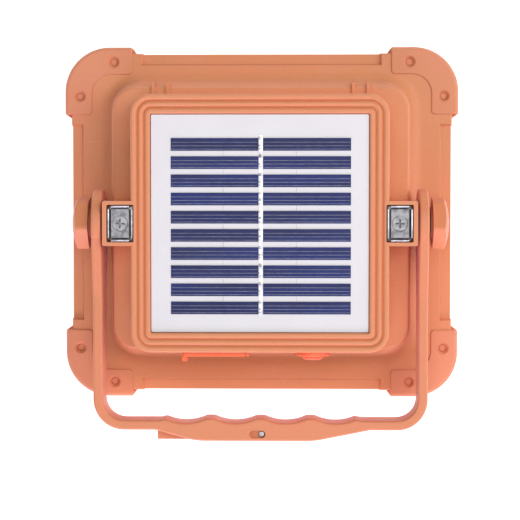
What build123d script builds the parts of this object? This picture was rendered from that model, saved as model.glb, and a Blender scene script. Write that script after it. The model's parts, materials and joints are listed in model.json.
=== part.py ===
from build123d import *
import math
import os

# Portable rechargeable work light with a solar panel on its back, lying on its lens.
# Millimetres. X runs across the lamp, +Y to its top, +Z from the lens to the solar panel.
# The origin is the middle of the lens's outer face. The corner guards stand proud of it.

# ---- the solar panel sets the turret, and the turret the body round it ----
panel_size = 87.4
ridge_band = 8.3           # width of the ridged frame round the panel
turret_size = panel_size + 2 * ridge_band

# ---- body, over the corner guards and over the flange ----
body_width = turret_size + 60.0
body_height = turret_size + 42.0
guard_front = -2.4         # the plane that the lamp stands on when it lies on its face
guard_length = 28.0        # length of each guard along the body's edge
guard_stand = 2.7          # how far a guard stands outside the flange edge
flange_width = body_width - 2 * guard_stand
flange_height = body_height - 2 * guard_stand
flange_radius = 16.0
wall = 2.4
bezel_front = -1.6         # height of the bezel's face
parting = 3.6              # plane where the bezel meets the rear housing
flange_back = 12.1
step_back = 24.6
turret_back = 40.6

# ---- rear housing: the drafted step and the square turret on it ----
step_foot_width = turret_size + 21.4
step_foot_height = turret_size + 13.0
step_foot_radius = 13.0
step_foot_shift = 1.5
step_top_width = turret_size + 17.6
step_top_height = turret_size + 2.8
step_top_radius = 9.5
step_top_shift = 1.9
step_foot_fillet = 5.0
step_edge_fillet = 1.0
turret_radius = 8.0
flange_cavity_back = 8.5
strip_depth = 1.6          # long shallow steps cut round the flange
strip_width = 4.2
strip_margin = 4.7         # flat left between a strip and the guard
strip_half_x = body_width / 2 - guard_length - strip_margin
strip_half_y = body_height / 2 - guard_length - strip_margin
strip_slope = 0.75         # run of each sloping wall
strip_edge_cut = 0.3
rib_x = 41.0               # pairs of locating ribs on the upper step wall
rib_gap = 6.0
rib_width = 1.4
rib_run = 4.6              # along Y, from inside the step wall
rib_rise = 0.8             # above the step

# ---- solar panel and its pocket ----
panel_gap = 0.25
pocket_depth = 2.6
pocket_floor = 2.0
backing_thick = 1.2
cell_thick = 0.25
cover_thick = 0.45
tape_thick = 0.3
cell_length = 35.2
cell_height = 5.1
cell_pitch = 7.3
cell_rows = 10
cell_column_gap = 1.9
cell_shift_x = 0.4         # the cells sit a little off the middle of the panel
cell_shift_y = -1.1
ribbon_width = 1.5
ribbon_thick = 0.15
groove_pitch = 2.72
groove_depth = 0.85
groove_floor = 0.1         # flat at the bottom of a groove
crest_fillet = 0.95

# ---- corner guards ----
guard_leg = 11.3
guard_radius = 18.7
guard_inner_radius = 8.0
guard_back = 12.6
guard_lip_back = 10.4      # floor of the pocket under the back lip
guard_lip_front = 0.2
guard_fillet = 1.6
guard_end_radius = 1.6
guard_gap = 0.05
guard_seam = 0.35          # chamfer along the seam with the housing
guard_rise = 2.4           # what the flange edge rises to meet a guard's end
ramp_length = 1.7
rivet_along = 20.4         # rivet centres from the guard's outer faces
rivet_across = 6.2
rivet_shank_radius = 0.9
rivet_head_radius = 1.45
rivet_head_back = 11.3
rivet_tip = 6.4
dimple_radius = 2.5
dimple_depth = 1.3

# ---- front: lens, gasket, reflector, lamp board ----
lens_margin = 10.3         # from the flange edge to the lens edge
lens_width = flange_width - 2 * lens_margin
lens_height = flange_height - 2 * lens_margin
lens_radius = 7.0
lens_thick = 2.0
lens_front = 0.0
lens_step = 0.8            # the lens stands this far through the bezel's window
lens_fit = 0.2
lens_chamfer = 0.3
lip_cover = 3.0            # how far the bezel lip covers the lens
gasket_thick = 0.8
gasket_width = 3.6
tray_rim = 1.0
tray_wall = 1.2
tray_radius = 4.4
board_front = 7.2
board_thick = 1.6
board_width = step_foot_width - 10.4   # it has to fit inside the step
board_height = step_foot_height - 20.0
tray_low_width = board_width - 9.0
tray_low_height = board_height - 9.0
led_pitch = 9.4
led_length = 3.5
led_width = 2.8
led_thick = 0.7
led_columns = 2 * int((tray_low_width / 2 - led_length) / led_pitch) + 1
led_rows = 2 * int((tray_low_height / 2 - led_width) / led_pitch) + 1
lamp_screw_x = board_width / 2 - 7.5
lamp_screw_y = board_height / 2 - 7.0
screw_fit = 0.2            # round a screw in a clearance hole
post_radius = 3.0
small_screw_radius = 1.1
small_head_radius = 2.1
small_head_depth = 1.2
lamp_screw_grip = 6.0      # thread in the posts
main_screw_grip = 4.8
case_screw_radius = 1.3
case_head_radius = 2.6
case_head_depth = 2.0
case_screw_tip = 1.2
seal_inset = 0.7
seal_width = 1.1
seal_depth = 1.0

# ---- ears, magnets, pivots ----
pivot_z = 26.6
ear_outer = turret_size / 2 + 11.4
ear_overlap = 1.4          # how far the ears run in under the outer ridge
ear_height = 18.1
magnet_x = turret_size / 2 + 4.2
cup_width = 10.2
cup_height = 14.4
cup_depth = 4.4
cup_wall = 1.0
cup_radius = 1.0
cup_gap = 0.35
cup_back = turret_back     # the cups' rims end level with the turret
magnet_gap = 0.25
magnet_sink = 0.25
screw_radius = 1.5
screw_head_radius = 3.0
screw_head_depth = 1.7
bolt_radius = 2.5
bolt_fit = 0.06
insert_radius = 3.6
insert_length = 7.5
pivot_washer = 0.6
washer_radius = 6.5
arm_washer = 0.8           # steel washer under each knob

# ---- handle ----
handle_inner = ear_outer + 0.7  # inner faces of the arms
arm_thick = 4.0
eye_radius = 13.8
strap_half = 7.0
strap_start = 30.0
corner_outer_radius = 12.5
grip_top = turret_size / 2 + 28.4  # distances below the pivot line
grip_bottom = grip_top + 3.9
belly_bottom = grip_bottom + 4.5
belly_radius = 34.0
belly_ends = (-42.6, 44.4)   # where the belly leaves the plain strap
belly_flat = (-27.0, 22.0)   # its straight bottom
crest_top = grip_top - 0.8
crest_half = 38.4
finger_pitch = 20.5
finger_radius = 20.0
finger_depth = 1.9
handle_fillet = 0.9

# ---- hanging hook ----
hook_tip = -42.2
hook_boss = 2.6
hook_pin_x = 0.6
hook_pin_y = hook_boss + 0.2 - belly_bottom
hook_thick = 4.6
hook_gap = 0.3
hook_shank = 2.5
hook_lip = 3.0
hook_pin_foot = 1.2        # plastic left under the pin
hook_pin_radius = 1.2
hook_pin_fit = 0.06
pin_slot_length = 6.5
pin_slot_width = 3.1
pin_slot_depth = 1.4

# ---- knobs ----
knob_back_x = handle_inner + arm_thick + 1.8
knob_rim = 4.6             # straight part of the knob before its dome
knob_dome = 2.4
knob_corner = 11.3
knob_collar = 6.5
knob_bolt_head = 3.0       # depth of the bolt's head inside the knob
knob_bolt_size = 4.6       # across its corners, as a radius
knob_turn = 11.0           # the hexagon's resting angle, degrees

# ---- controls and ports on the turret's lower wall ----
turret_low = -turret_size / 2
plug_depth = 1.1
control_z = 32.0
button_x = 21.4
button_radius = 4.2
button_proud = 1.6
button_fit = 0.2
bezel_radius = 7.2
bezel_proud = 1.8
bezel_neck = 5.0
button_travel = 0.8
switch_face = turret_low + 8.4
plunger_reach = 1.4
plunger_depth = 2.0
plunger_radius = 1.4
button_inset = 1.2         # the cap's inner end, from the wall's outer face
cover_left = -31.1
cover_right = -4.4
cover_proud = 1.9
cover_gap = 0.1
cover_height = 10.0
cover_z = 32.2
tab_reach = 2.1
tab_width = 2.2
hinge_x = -6.7
hinge_radius = 0.9
hinge_y = turret_low - cover_gap - hinge_radius
peg_x = -5.05              # peg that holds the cover's fixed end
peg_radius = 0.6
peg_head_radius = 1.3
port_left = -30.4
port_right = -7.7
port_height = 7.6
port_radius = 1.2
usb_a_x = -14.6
usb_a_half = 6.6
usb_a_depth = 13.6
usb_a_height = 6.9
usb_c_x = -25.85
usb_c_width = 9.0
usb_c_height = 3.2
usb_c_depth = 7.4
usb_c_wall = 0.3
socket_face = turret_low + wall + 0.3

# ---- main board and battery ----
main_front = 27.2
main_thick = 1.6
main_half = 40.0
main_low = turret_low + 3.6
cell_radius = 9.15
battery_length = 65.0
battery_pitch = 2 * cell_radius + 0.5
holder_half_x = 35.6
holder_wall = 1.2
wire_radius = 0.8
cell_fit = 0.15            # between a battery cell and its holder
battery_tape_thick = 0.8
tab_thick = 0.3            # nickel tabs on the battery's ends
spring_gap = 0.5           # room for a tab between cell and holder
ceiling = turret_back - pocket_depth - pocket_floor
main_back = main_front + main_thick
battery_z = ceiling - battery_tape_thick - holder_wall - cell_fit - cell_radius
holder_half_y = battery_pitch + cell_radius + cell_fit + holder_wall + 0.05
main_high = turret_low + 28.5
battery_mid = main_high + 2.15 + holder_half_y


def rounded(width, height, radius, z, x=0.0, y=0.0):
    """A rounded rectangle lying at height z."""
    return Pos(x, y, z) * RectangleRounded(width, height, radius)


def slab(width, height, radius, z0, z1, x=0.0, y=0.0):
    return extrude(rounded(width, height, radius, z0, x, y), z1 - z0)


def block(x0, x1, y0, y1, z0, z1):
    middle = Pos((x0 + x1) / 2, (y0 + y1) / 2, (z0 + z1) / 2)
    return middle * Box(x1 - x0, y1 - y0, z1 - z0)


def post(x, y, radius, z0, z1):
    return Pos(x, y, (z0 + z1) / 2) * Cylinder(radius, z1 - z0)


def along_x(x0, x1, y, z, radius):
    """A round bar between two X stations."""
    return Pos((x0 + x1) / 2, y, z) * Rot(0, 90, 0) * Cylinder(radius, x1 - x0)


def along_y(y0, y1, x, z, radius):
    return Pos(x, (y0 + y1) / 2, z) * Rot(90, 0, 0) * Cylinder(radius, y1 - y0)


def frustum(low, high):
    """A drafted block between two rounded rectangles."""
    return loft([low.face(), high.face()])


def at_height(shape, z, tolerance=0.01):
    """Edges that lie wholly at one height."""
    found = []
    for edge in shape.edges():
        box = edge.bounding_box()
        if abs(box.min.Z - z) < tolerance and abs(box.max.Z - z) < tolerance:
            found.append(edge)
    return found


def inside(edges, half_x, half_y):
    """The edges whose middles lie nearer the centre than these half sizes."""
    return [e for e in edges if abs((e @ 0.5).X) < half_x and abs((e @ 0.5).Y) < half_y]


def wire(points, radius):
    """A round lead along straight runs joined by arcs."""
    path = FilletPolyline(*points, radius=2.2)
    section = Plane(origin=path @ 0, z_dir=path % 0) * Circle(radius)
    return sweep(section, path)


corners = [(sx, sy) for sx in (-1, 1) for sy in (-1, 1)]
sides = {"left": -1, "right": 1}


# ---- corner guards and the pockets they sit in ----
def guard_outline(sx, sy, grow=0.0):
    """The L-shaped outline of one guard, seen from the back."""
    outer = RectangleRounded(body_width, body_height, guard_radius)
    inner = RectangleRounded(
        body_width - 2 * guard_leg - 2 * grow,
        body_height - 2 * guard_leg - 2 * grow,
        guard_inner_radius - grow,
    )
    length = guard_length + grow
    square = Pos(sx * (body_width - length) / 2, sy * (body_height - length) / 2)
    outline = (outer - inner) & (square * Rectangle(length, length))
    reach_x = body_width / 2 - guard_leg - grow
    reach_y = body_height / 2 - guard_leg - grow
    ends = [
        v
        for v in outline.vertices()
        if (abs(abs(v.X) - reach_x) < 0.01 and abs(abs(v.Y) - (body_height / 2 - length)) < 0.01)
        or (abs(abs(v.Y) - reach_y) < 0.01 and abs(abs(v.X) - (body_width / 2 - length)) < 0.01)
    ]
    return fillet(ends, guard_end_radius)


def rivet_places():
    places = []
    for sx, sy in corners:
        places.append((sx * (body_width / 2 - rivet_along), sy * (body_height / 2 - rivet_across)))
        places.append((sx * (body_width / 2 - rivet_across), sy * (body_height / 2 - rivet_along)))
    return places


def flange_core(z0, z1, grow=0.0):
    return slab(flange_width + 2 * grow, flange_height + 2 * grow, flange_radius + grow, z0, z1)


def is_outer_edge(edge, inset=0.0):
    """True for the lines and the arc that follow a guard's outside."""
    middle = edge @ 0.5
    if edge.geom_type == GeomType.CIRCLE:
        return edge.radius > guard_inner_radius + 1
    along_x_face = abs(abs(middle.X) - body_width / 2 + inset) < 0.01
    along_y_face = abs(abs(middle.Y) - body_height / 2 + inset) < 0.01
    return along_x_face or along_y_face


def corner_guard(sx, sy):
    guard = extrude(Pos(0, 0, guard_front) * guard_outline(sx, sy), guard_back - guard_front)
    rims = at_height(guard, guard_back) + at_height(guard, guard_front)
    guard = fillet([e for e in rims if is_outer_edge(e)], guard_fillet)
    back_rim = at_height(guard, guard_back)
    guard = chamfer([e for e in back_rim if not is_outer_edge(e, guard_fillet)], guard_seam)
    guard -= flange_core(guard_lip_front, guard_lip_back, guard_gap)
    for x, y in rivet_places():
        if x * sx > 0 and y * sy > 0:
            guard -= post(x, y, rivet_shank_radius + guard_gap, guard_lip_back - 1, guard_back)
            guard -= post(x, y, rivet_head_radius + guard_gap, guard_back - dimple_depth - 0.9, guard_back)
            cone = Cone(rivet_head_radius + guard_gap, dimple_radius, dimple_depth)
            guard -= Pos(x, y, guard_back - dimple_depth / 2) * cone
    return guard


def case_screw_places():
    reach = 0.72 * flange_radius * math.sqrt(0.5)
    x = flange_width / 2 - flange_radius + reach
    y = flange_height / 2 - flange_radius + reach
    return [(sx * x, sy * y) for sx, sy in corners]


def edge_ramps(z0, z1):
    """Small wedges on the flange edge that carry each guard's end down to it."""
    ramps = None
    for sx, sy in corners:
        x0 = sx * (body_width / 2 - guard_length)
        y0 = sy * (body_height / 2 - guard_length)
        edge_x = sx * flange_width / 2
        edge_y = sy * flange_height / 2
        foot_x = x0 - sx * ramp_length
        foot_y = y0 - sy * ramp_length
        along_top = Polygon(
            (x0, edge_y - sy),
            (x0, edge_y + sy * guard_rise),
            (foot_x, edge_y),
            (foot_x, edge_y - sy),
            align=None,
        )
        along_side = Polygon(
            (edge_x - sx, y0),
            (edge_x + sx * guard_rise, y0),
            (edge_x, foot_y),
            (edge_x - sx, foot_y),
            align=None,
        )
        for outline in (along_top, along_side):
            wedge = extrude(Pos(0, 0, z0) * outline, z1 - z0, dir=(0, 0, 1))
            ramps = wedge if ramps is None else ramps + wedge
    return ramps


# ---- rear housing ----
def housing_outside():
    shape = flange_core(parting, flange_back)
    foot = rounded(step_foot_width, step_foot_height, step_foot_radius, flange_back, 0, step_foot_shift)
    top = rounded(step_top_width, step_top_height, step_top_radius, step_back, 0, step_top_shift)
    shape += frustum(foot, top)
    foot_edges = inside(at_height(shape, flange_back), flange_width / 2 - 3, flange_height / 2 - 3)
    rim_edges = [e for e in at_height(shape, flange_back) if e not in foot_edges]
    shape = fillet(rim_edges, 0.8)
    foot_edges = inside(at_height(shape, flange_back), flange_width / 2 - 3, flange_height / 2 - 3)
    shape = fillet(foot_edges, step_foot_fillet)
    shape = fillet(at_height(shape, step_back), step_edge_fillet)
    shape += edge_ramps(parting, guard_lip_back - 0.6)
    return shape


def turret_and_ears():
    shape = slab(turret_size, turret_size, turret_radius, flange_cavity_back + 4, turret_back)
    shape -= ridge_grooves()
    pocket = panel_size + 2 * panel_gap
    shape -= slab(pocket, pocket, 0.6, turret_back - pocket_depth, turret_back + 1)
    shape = fillet(at_height(shape, turret_back), crest_fillet)
    for side in sides.values():
        near = turret_size / 2 - ear_overlap
        x0, x1 = sorted((side * near, side * ear_outer))
        ear = block(x0, x1, -ear_height / 2, ear_height / 2, flange_cavity_back + 2, turret_back)
        upright = [e for e in ear.edges().filter_by(Axis.Z) if abs((e @ 0.5).X) > near + 1]
        shape += fillet(upright, 0.9)
    return shape


def ridge_grooves():
    """Two V grooves that leave three rounded ridges round the solar panel."""
    grooves = None
    for row in (1, 2):
        inset = row * groove_pitch
        outer = turret_size - 2 * (inset - groove_depth)
        inner = turret_size - 2 * (inset + groove_depth)
        outer_radius = turret_radius - inset + groove_depth
        inner_radius = turret_radius - inset - groove_depth
        middle = turret_size - 2 * inset
        middle_radius = turret_radius - inset
        low = turret_back - groove_depth
        wide = frustum(
            rounded(middle + groove_floor, middle + groove_floor, middle_radius + groove_floor / 2, low),
            rounded(outer, outer, outer_radius, turret_back),
        )
        core = frustum(
            rounded(middle, middle, middle_radius, low),
            rounded(inner, inner, inner_radius, turret_back),
        )
        groove = wide - core
        grooves = groove if grooves is None else grooves + groove
    return grooves


def housing_cavity():
    inner_foot = rounded(
        step_foot_width - 2 * wall,
        step_foot_height - 2 * wall,
        step_foot_radius - wall,
        flange_cavity_back,
        y=step_foot_shift,
    )
    inner_top = rounded(
        step_top_width - 2 * wall,
        step_top_height - 2 * wall,
        step_top_radius - wall,
        step_back - wall,
        y=step_top_shift,
    )
    room_x, room_y = flange_width - 2 * wall, flange_height - 2 * wall
    cavity = slab(room_x, room_y, flange_radius - wall, parting, flange_cavity_back)
    cavity += frustum(inner_foot, inner_top)
    inner = turret_size - 2 * wall
    cavity += slab(inner, inner, turret_radius - wall, step_back - wall - 1, ceiling)
    return cavity


def strip_cuts():
    """A shallow step along each side of the flange, with sloping walls, and a trimmed edge."""
    cuts = []
    low = flange_back - strip_depth
    for turn, half, edge in ((0, strip_half_x, flange_height / 2), (90, strip_half_y, flange_width / 2)):
        deep = strip_width + 1
        floor = Pos(0, edge + 1 - deep / 2, low) * Rectangle(2 * half, deep)
        deep += 2 * strip_slope
        mouth = Rectangle(2 * half + 4 * strip_slope, deep)
        mouth = Pos(0, edge + 1 - deep / 2, flange_back + strip_depth) * mouth
        step = loft([floor.face(), mouth.face()])
        trim = block(-half, half, edge - strip_edge_cut, edge + 1, parting, flange_back)
        cuts += [Rot(0, 0, turn + flip) * cut for flip in (0, 180) for cut in (step, trim)]
    return cuts


main_post_places = [(-36.0, main_high - 4), (36.0, main_high - 4), (2.5, main_low + 3.4)]


def rear_housing():
    shape = housing_outside() + turret_and_ears()
    rib_low = step_foot_shift + step_top_height / 2 - 2
    for sign in (-1, 1):
        for offset in (-rib_gap / 2, rib_gap / 2):
            x = sign * rib_x + offset
            x0, x1 = x - rib_width / 2, x + rib_width / 2
            shape += block(x0, x1, rib_low, rib_low + rib_run, flange_back + 4, step_back + rib_rise)
    shape -= housing_cavity()
    for cut in strip_cuts():
        shape -= cut
    for sx, sy in corners:
        shape -= extrude(Pos(0, 0, guard_lip_back) * guard_outline(sx, sy, guard_gap), 5)
    for x, y in rivet_places():
        shape += post(x, y, 2.2, rivet_tip - 0.8, flange_cavity_back + 0.5)
        shape -= post(x, y, rivet_shank_radius, rivet_tip, guard_lip_back + 1)
    for x, y in case_screw_places():
        shape += post(x, y, 3.6, parting, flange_cavity_back + 0.5)
        shape -= post(x, y, case_screw_radius + screw_fit, parting - 1, guard_lip_back + 1)
        head_low = guard_lip_back - case_head_depth
        shape -= post(x, y, case_head_radius + screw_fit, head_low, guard_lip_back + 1)
    for sx, sy in corners:
        x, y = sx * lamp_screw_x, sy * lamp_screw_y
        shape += post(x, y, post_radius, board_front + board_thick, step_back - wall + 0.5)
        shape -= post(x, y, small_screw_radius, board_front, board_front + board_thick + 6.4)
    for x, y in main_post_places:
        shape += post(x, y, post_radius - 0.4, main_back, ceiling + 0.5)
        shape -= post(x, y, small_screw_radius, main_back - 1, main_back + 5.2)
    for side in sides.values():
        x0, x1 = sorted((side * (ear_outer + 0.05), side * (handle_inner + arm_thick + 1.2)))
        shape -= along_x(x0, x1, 0, pivot_z, eye_radius + 1.0)
        hole_x, hole_y = cup_width + 2 * cup_gap, cup_height + 2 * cup_gap
        hole_floor = cup_back - cup_depth
        shape -= slab(hole_x, hole_y, 0.5, hole_floor, turret_back + 1, side * magnet_x)
        shape -= post(side * magnet_x, 0, screw_radius, cup_back - cup_depth - 4.5, turret_back)
        x0, x1 = sorted((side * (ear_outer - insert_length), side * (ear_outer + 1)))
        shape -= along_x(x0, x1, 0, pivot_z, insert_radius)
        x0, x1 = sorted((side * (ear_outer - insert_length - 1.6), side * ear_outer))
        shape -= along_x(x0, x1, 0, pivot_z, bolt_radius + bolt_fit)
    low = turret_low
    shape -= along_y(low - 1, low + wall, button_x, control_z, bezel_neck)
    port_middle = (port_left + port_right) / 2
    port_hole = Rot(90, 0, 0) * RectangleRounded(port_right - port_left, port_height, port_radius)
    shape -= extrude(Pos(port_middle, low + wall / 2, cover_z) * port_hole, wall, both=True)
    shape -= along_y(low - 1, low + wall + 1, peg_x, cover_z, peg_radius)
    shape -= slab(12.0, 6.0, 2.4, ceiling - 1, ceiling + pocket_floor + 1, 0, -36.0)
    return shape


# ---- front of the lamp ----
def front_bezel():
    shape = flange_core(bezel_front, parting)
    shape = chamfer(at_height(shape, bezel_front), 1.2)
    shape += edge_ramps(guard_lip_front + 0.6, parting)
    window_x = lens_width - 2 * lip_cover
    window_y = lens_height - 2 * lip_cover
    mouth = frustum(
        rounded(window_x + 2.4, window_y + 2.4, lens_radius - lip_cover + 1.2, bezel_front),
        rounded(window_x, window_y, lens_radius - lip_cover, lens_front + lens_step),
    )
    shape -= mouth
    seat_x, seat_y = lens_width + 2 * lens_fit, lens_height + 2 * lens_fit
    shape -= slab(seat_x, seat_y, lens_radius + lens_fit, lens_front + lens_step, parting)
    for sx, sy in corners:
        pocket = Pos(0, 0, guard_front) * guard_outline(sx, sy, guard_gap)
        shape -= extrude(pocket, guard_lip_front - guard_front)
    for x, y in case_screw_places():
        shape -= post(x, y, case_screw_radius, case_screw_tip, parting + 1)
    shape -= seal_ring(0.0)
    return shape


def seal_ring(shrink):
    """The body seal, or its groove when nothing is taken off."""
    inset = seal_inset + shrink
    width = seal_width - 2 * shrink
    z0 = parting - seal_depth + shrink
    outer = slab(flange_width - 2 * inset, flange_height - 2 * inset, flange_radius - inset, z0, parting)
    inner_inset = inset + width
    inner_x, inner_y = flange_width - 2 * inner_inset, flange_height - 2 * inner_inset
    return outer - slab(inner_x, inner_y, flange_radius - inner_inset, z0, parting)


def lens():
    """A flat pane whose middle stands through the bezel's window."""
    shape = slab(lens_width, lens_height, lens_radius, lens_front + lens_step, lens_front + lens_thick)
    inset = lip_cover + lens_fit
    raised_x, raised_y = lens_width - 2 * inset, lens_height - 2 * inset
    shape += slab(raised_x, raised_y, lens_radius - inset, lens_front, lens_front + lens_thick)
    return chamfer(at_height(shape, lens_front), lens_chamfer)


def lens_gasket():
    z0 = lens_front + lens_thick
    outer = slab(lens_width, lens_height, lens_radius, z0, z0 + gasket_thick)
    inner_x, inner_y = lens_width - 2 * gasket_width, lens_height - 2 * gasket_width
    return outer - slab(inner_x, inner_y, lens_radius - gasket_width + 1, z0, z0 + gasket_thick)


def reflector_tray():
    z0 = lens_front + lens_thick + gasket_thick
    open_x = lens_width - 2 * gasket_width
    open_y = lens_height - 2 * gasket_width
    shape = slab(lens_width, lens_height, lens_radius, z0, z0 + tray_rim)
    skin = 2 * tray_wall
    shape += frustum(
        rounded(open_x + skin, open_y + skin, tray_radius + 0.6, z0),
        rounded(tray_low_width + skin, tray_low_height + skin, tray_radius - 0.4, board_front),
    )
    return shape - frustum(
        rounded(open_x, open_y, tray_radius, z0),
        rounded(tray_low_width, tray_low_height, tray_radius - 1.0, board_front),
    )


def lamp_board():
    shape = slab(board_width, board_height, 2.5, board_front, board_front + board_thick)
    for sx, sy in corners:
        x, y = sx * lamp_screw_x, sy * lamp_screw_y
        shape -= post(x, y, small_screw_radius + screw_fit, board_front, board_front + board_thick)
    return shape


def flood_leds():
    package = Box(led_length, led_width, led_thick)
    package = chamfer(package.edges().filter_by(Axis.Z), 0.3)
    packages = []
    for column in range(led_columns):
        for row in range(led_rows):
            x = (column - (led_columns - 1) / 2) * led_pitch
            y = (row - (led_rows - 1) / 2) * led_pitch
            packages.append(Pos(x, y, board_front - led_thick / 2) * package)
    return Compound(children=packages)


def cross_recess(radius, depth):
    """The cross that a driver fits, opening towards +Z at the origin."""
    arm = Box(2 * radius, 0.36 * radius, 2 * depth)
    return arm + Rot(0, 0, 90) * arm


def pan_screw(radius, length, head_radius, head_depth, cut=True):
    """A screw standing on z = 0 under its head, its shank going down."""
    head = Pos(0, 0, head_depth / 2) * Cylinder(head_radius, head_depth)
    head = fillet(at_height(head, head_depth), 0.45 * head_depth)
    shank = Pos(0, 0, -length / 2) * Cylinder(radius, length)
    shape = head + shank
    if cut:
        shape -= Pos(0, 0, head_depth) * cross_recess(0.55 * head_radius, 0.6 * head_depth)
    return shape


def lamp_board_screws():
    length = lamp_screw_grip + board_thick
    screw = pan_screw(small_screw_radius, length, small_head_radius, small_head_depth)
    places = [Pos(sx * lamp_screw_x, sy * lamp_screw_y, board_front) for sx, sy in corners]
    return Compound(children=[place * Rot(180, 0, 0) * screw for place in places])


def case_screws():
    length = guard_lip_back - case_head_depth - case_screw_tip - 0.2
    screw = pan_screw(case_screw_radius, length, case_head_radius, case_head_depth - 0.3)
    base = guard_lip_back - case_head_depth
    return Compound(children=[Pos(x, y, base) * screw for x, y in case_screw_places()])


def guard_rivets():
    head = Cylinder(rivet_head_radius, rivet_head_back - guard_lip_back)
    head = fillet(at_height(head, (rivet_head_back - guard_lip_back) / 2), 0.3)
    shank = Cylinder(rivet_shank_radius, guard_lip_back - rivet_tip)
    rivets = []
    for x, y in rivet_places():
        rivet = Pos(x, y, (rivet_head_back + guard_lip_back) / 2) * head
        rivet += Pos(x, y, (rivet_tip + guard_lip_back) / 2) * shank
        rivets.append(rivet)
    return Compound(children=rivets)


# ---- solar panel ----
panel_floor = turret_back - pocket_depth
backing_low = panel_floor + tape_thick
backing_high = backing_low + backing_thick
cells_high = backing_high + cell_thick


def solar_tape():
    outer = slab(panel_size - 2, panel_size - 2, 0.5, panel_floor, backing_low)
    return outer - slab(panel_size - 14, panel_size - 14, 0.5, panel_floor, backing_low)


def cell_y(row):
    return cell_shift_y + ((cell_rows - 1) / 2 - row) * cell_pitch


def solar_cells():
    cells = []
    for row in range(cell_rows):
        for side in (-1, 1):
            x = cell_shift_x + side * (cell_column_gap + cell_length) / 2
            cell = Box(cell_length, cell_height, cell_thick)
            cells.append(Pos(x, cell_y(row), backing_high + cell_thick / 2) * cell)
    return Compound(children=cells)


def solar_ribbons():
    """The tinned ribbon that joins the cells down the middle, one length per gap."""
    half = ribbon_width / 2
    x0, x1 = cell_shift_x - half, cell_shift_x + half
    low, high = cell_y(cell_rows - 1) - cell_pitch / 2, cell_y(0) + cell_pitch / 2
    return block(x0, x1, low, high, backing_high, backing_high + ribbon_thick)


def solar_cover():
    """Clear laminate over the cells, hollowed where they and the ribbon lie."""
    shape = slab(panel_size, panel_size, 0.5, backing_high, cells_high + cover_thick)
    shape = chamfer(at_height(shape, cells_high + cover_thick), 0.2)
    for cell in solar_cells().solids():
        shape -= cell
    return shape - solar_ribbons()


# ---- handle and hook ----
def near_line(outline, y, half):
    """The outline's corners at one height, within half of the middle."""
    return [v for v in outline.vertices() if abs(v.Y - y) < 0.1 and abs(v.X) < half]


def handle_front_outline():
    outer_x = handle_inner + arm_thick
    inner_radius = corner_outer_radius - arm_thick
    top = eye_radius + 1
    outer = Pos(0, (top - grip_bottom) / 2) * Rectangle(2 * outer_x, top + grip_bottom)
    outer = fillet([v for v in outer.vertices() if v.Y < 0], corner_outer_radius)
    inner = Pos(0, (top + 1 - grip_top) / 2) * Rectangle(2 * handle_inner, top + 1 + grip_top)
    inner = fillet([v for v in inner.vertices() if v.Y < 0], inner_radius)
    belly = Polygon(
        (belly_ends[0], -grip_top - 1),
        (belly_ends[0], -grip_bottom),
        (belly_flat[0], -belly_bottom),
        (belly_flat[1], -belly_bottom),
        (belly_ends[1], -grip_bottom),
        (belly_ends[1], -grip_top - 1),
        align=None,
    )
    crests = make_face(
        Polyline(
            (-crest_half - 3, -grip_top - 0.5),
            (-crest_half - 3, -grip_top),
            (-crest_half + 1, -crest_top),
            (crest_half - 1, -crest_top),
            (crest_half + 3, -grip_top),
            (crest_half + 3, -grip_top - 0.5),
            close=True,
        )
    )
    outline = (outer - inner) + belly + crests
    for place in (-1.5, -0.5, 0.5, 1.5):
        middle = Pos(place * finger_pitch, -crest_top - finger_depth + finger_radius)
        outline -= middle * Circle(finger_radius)
    crest_corners = [v for v in outline.vertices() if abs(v.Y + crest_top) < 0.3]
    outline = fillet(crest_corners, 1.3)
    outline = fillet(near_line(outline, -grip_top, crest_half + 4), 2.0)
    outline = fillet(near_line(outline, -grip_bottom, belly_ends[1] + 1), 6.0)
    return fillet(near_line(outline, -belly_bottom, belly_ends[1]), belly_radius)


def handle_side_outline():
    """One arm seen from the side: a round eye that narrows into the strap."""
    strap = Polyline(
        (0, -eye_radius),
        (-strap_start, -strap_half),
        (-belly_bottom - 5, -strap_half),
        (-belly_bottom - 5, strap_half),
        (-strap_start, strap_half),
        (0, eye_radius),
        close=True,
    )
    return Circle(eye_radius) + make_face(strap)


def is_upright(edge):
    run = (edge @ 1) - (edge @ 0)
    return edge.geom_type == GeomType.LINE and abs(run.X) < 0.01 and abs(run.Y) < 0.01


def is_across_arm(edge):
    run = (edge @ 1) - (edge @ 0)
    flat = abs(run.Y) < 0.01 and abs(run.Z) < 0.01
    return edge.geom_type == GeomType.LINE and flat and abs(edge.length - arm_thick) < 0.05


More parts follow.
